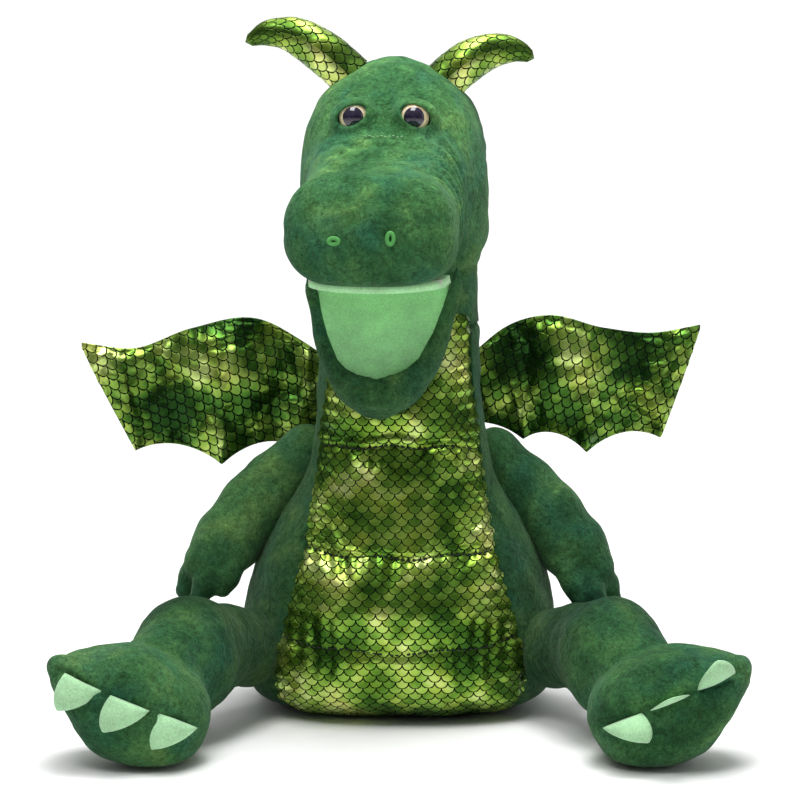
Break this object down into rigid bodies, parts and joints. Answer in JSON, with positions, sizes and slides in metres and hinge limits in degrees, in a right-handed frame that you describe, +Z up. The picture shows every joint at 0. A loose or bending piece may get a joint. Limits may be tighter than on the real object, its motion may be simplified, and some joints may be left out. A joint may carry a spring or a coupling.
{
  "type": "hand puppet",
  "caption": "Seated plush dragon hand puppet with a moving mouth, foil-scaled belly, wings and horns, stuffed arms, legs and tail, and a hand entry in the back.",
  "frame": {"origin": "centre of the flat seat under the body", "axes": "+Z up, -Y the way the puppet faces, +X towards its left side as it sees it"},
  "size_m": [0.4882, 0.422, 0.5148],
  "materials": {
    "plush": "short-pile plush, mottled dark and mid green",
    "foil": "foil-printed scale fabric, metallic green and gold scales",
    "fleece": "smooth mid-green fleece",
    "felt": "pale green felt",
    "stuffing": "white polyester fibre stuffing",
    "lining": "plain woven dark green lining",
    "beans": "cotton bag of plastic pellets",
    "board": "thin stiff plastic board",
    "eye": "glossy amber, under a clear dome",
    "pupil": "glossy black",
    "washer": "white moulded plastic",
    "thread": "bright green embroidery thread"
  },
  "bodies": {
    "torso": {"torso_side_left": "plush", "torso_side_right": "plush", "belly_panel": "foil", "base_panel": "plush", "body_filling": "stuffing", "bean_bag": "beans", "hand_sleeve_body": "lining", "entry_binding": "lining"},
    "neck": {"neck_plush": "plush", "throat_panel": "plush", "neck_filling": "stuffing", "hand_sleeve_neck": "lining"},
    "head": {"head_cowl": "plush", "snout_cover": "plush", "upper_mouth_board": "board", "upper_mouth_lining": "fleece", "head_filling": "stuffing", "snout_filling": "stuffing", "horn_left_cover": "foil", "horn_left_filling": "stuffing", "horn_right_cover": "foil", "horn_right_filling": "stuffing", "eye_left": "eye", "eye_right": "eye", "pupil_left": "pupil", "pupil_right": "pupil", "eye_washers": "washer", "nostril_loops": "thread", "finger_pocket": "lining"},
    "jaw": {"jaw_cover": "plush", "jaw_board": "board", "jaw_lining": "fleece", "jaw_filling": "stuffing", "thumb_pocket": "lining"},
    "tail": {"tail_cover": "plush", "tail_filling": "stuffing"},
    "arm_left": {"arm_left_cover": "plush", "arm_left_filling": "stuffing"},
    "leg_left": {"leg_left_cover": "plush", "leg_left_filling": "stuffing", "foot_left_upper": "plush", "foot_left_sole": "plush", "foot_left_filling": "stuffing", "claws_left": "felt"},
    "wing_left": {"wing_left_front": "foil", "wing_left_wadding": "stuffing", "wing_left_back": "foil"},
    "arm_right": {"arm_right_cover": "plush", "arm_right_filling": "stuffing"},
    "leg_right": {"leg_right_cover": "plush", "leg_right_filling": "stuffing", "foot_right_upper": "plush", "foot_right_sole": "plush", "foot_right_filling": "stuffing", "claws_right": "felt"},
    "wing_right": {"wing_right_front": "foil", "wing_right_wadding": "stuffing", "wing_right_back": "foil"}
  },
  "joints": [
    {"name": "neck_turn", "type": "hinge", "parent": "torso", "child": "neck", "pos_m": [-0.004, -0.005, 0.264], "axis": [0, 0, 1], "range_deg": [-30, 30]},
    {"name": "head_nod", "type": "hinge", "parent": "neck", "child": "head", "pos_m": [-0.004, -0.005, 0.34], "axis": [0.9925, -0.1219, 0], "range_deg": [-20, 8]},
    {"name": "jaw_open", "type": "hinge", "parent": "head", "child": "jaw", "pos_m": [-0.01192, -0.06952, 0.323], "axis": [0.9925, -0.1219, 0], "range_deg": [-55, 0]},
    {"name": "arm_left_raise", "type": "hinge", "parent": "torso", "child": "arm_left", "pos_m": [-0.072, 0, 0.186], "axis": [0, 1, 0], "range_deg": [0, 85]},
    {"name": "arm_right_raise", "type": "hinge", "parent": "torso", "child": "arm_right", "pos_m": [0.073, 0, 0.182], "axis": [0, -1, 0], "range_deg": [0, 85]},
    {"name": "leg_left_raise", "type": "hinge", "parent": "torso", "child": "leg_left", "pos_m": [-0.114, -0.06, 0.047], "axis": [-0.8643, 0.5029, 0], "range_deg": [0, 35]},
    {"name": "leg_right_raise", "type": "hinge", "parent": "torso", "child": "leg_right", "pos_m": [0.114, -0.06, 0.047], "axis": [-0.8643, -0.5029, 0], "range_deg": [0, 35]},
    {"name": "wing_left_fold", "type": "hinge", "parent": "torso", "child": "wing_left", "pos_m": [-0.059, 0.036, 0.228], "axis": [0, 0, -1], "range_deg": [0, 60], "stiffness_Nm_per_rad": 0.01},
    {"name": "wing_right_fold", "type": "hinge", "parent": "torso", "child": "wing_right", "pos_m": [0.06, 0.036, 0.235], "axis": [0, 0, 1], "range_deg": [0, 60], "stiffness_Nm_per_rad": 0.01},
    {"name": "tail_wag", "type": "hinge", "parent": "torso", "child": "tail", "pos_m": [0.004, 0.092, 0.033], "axis": [0, 0, 1], "range_deg": [-30, 30]}
  ]
}
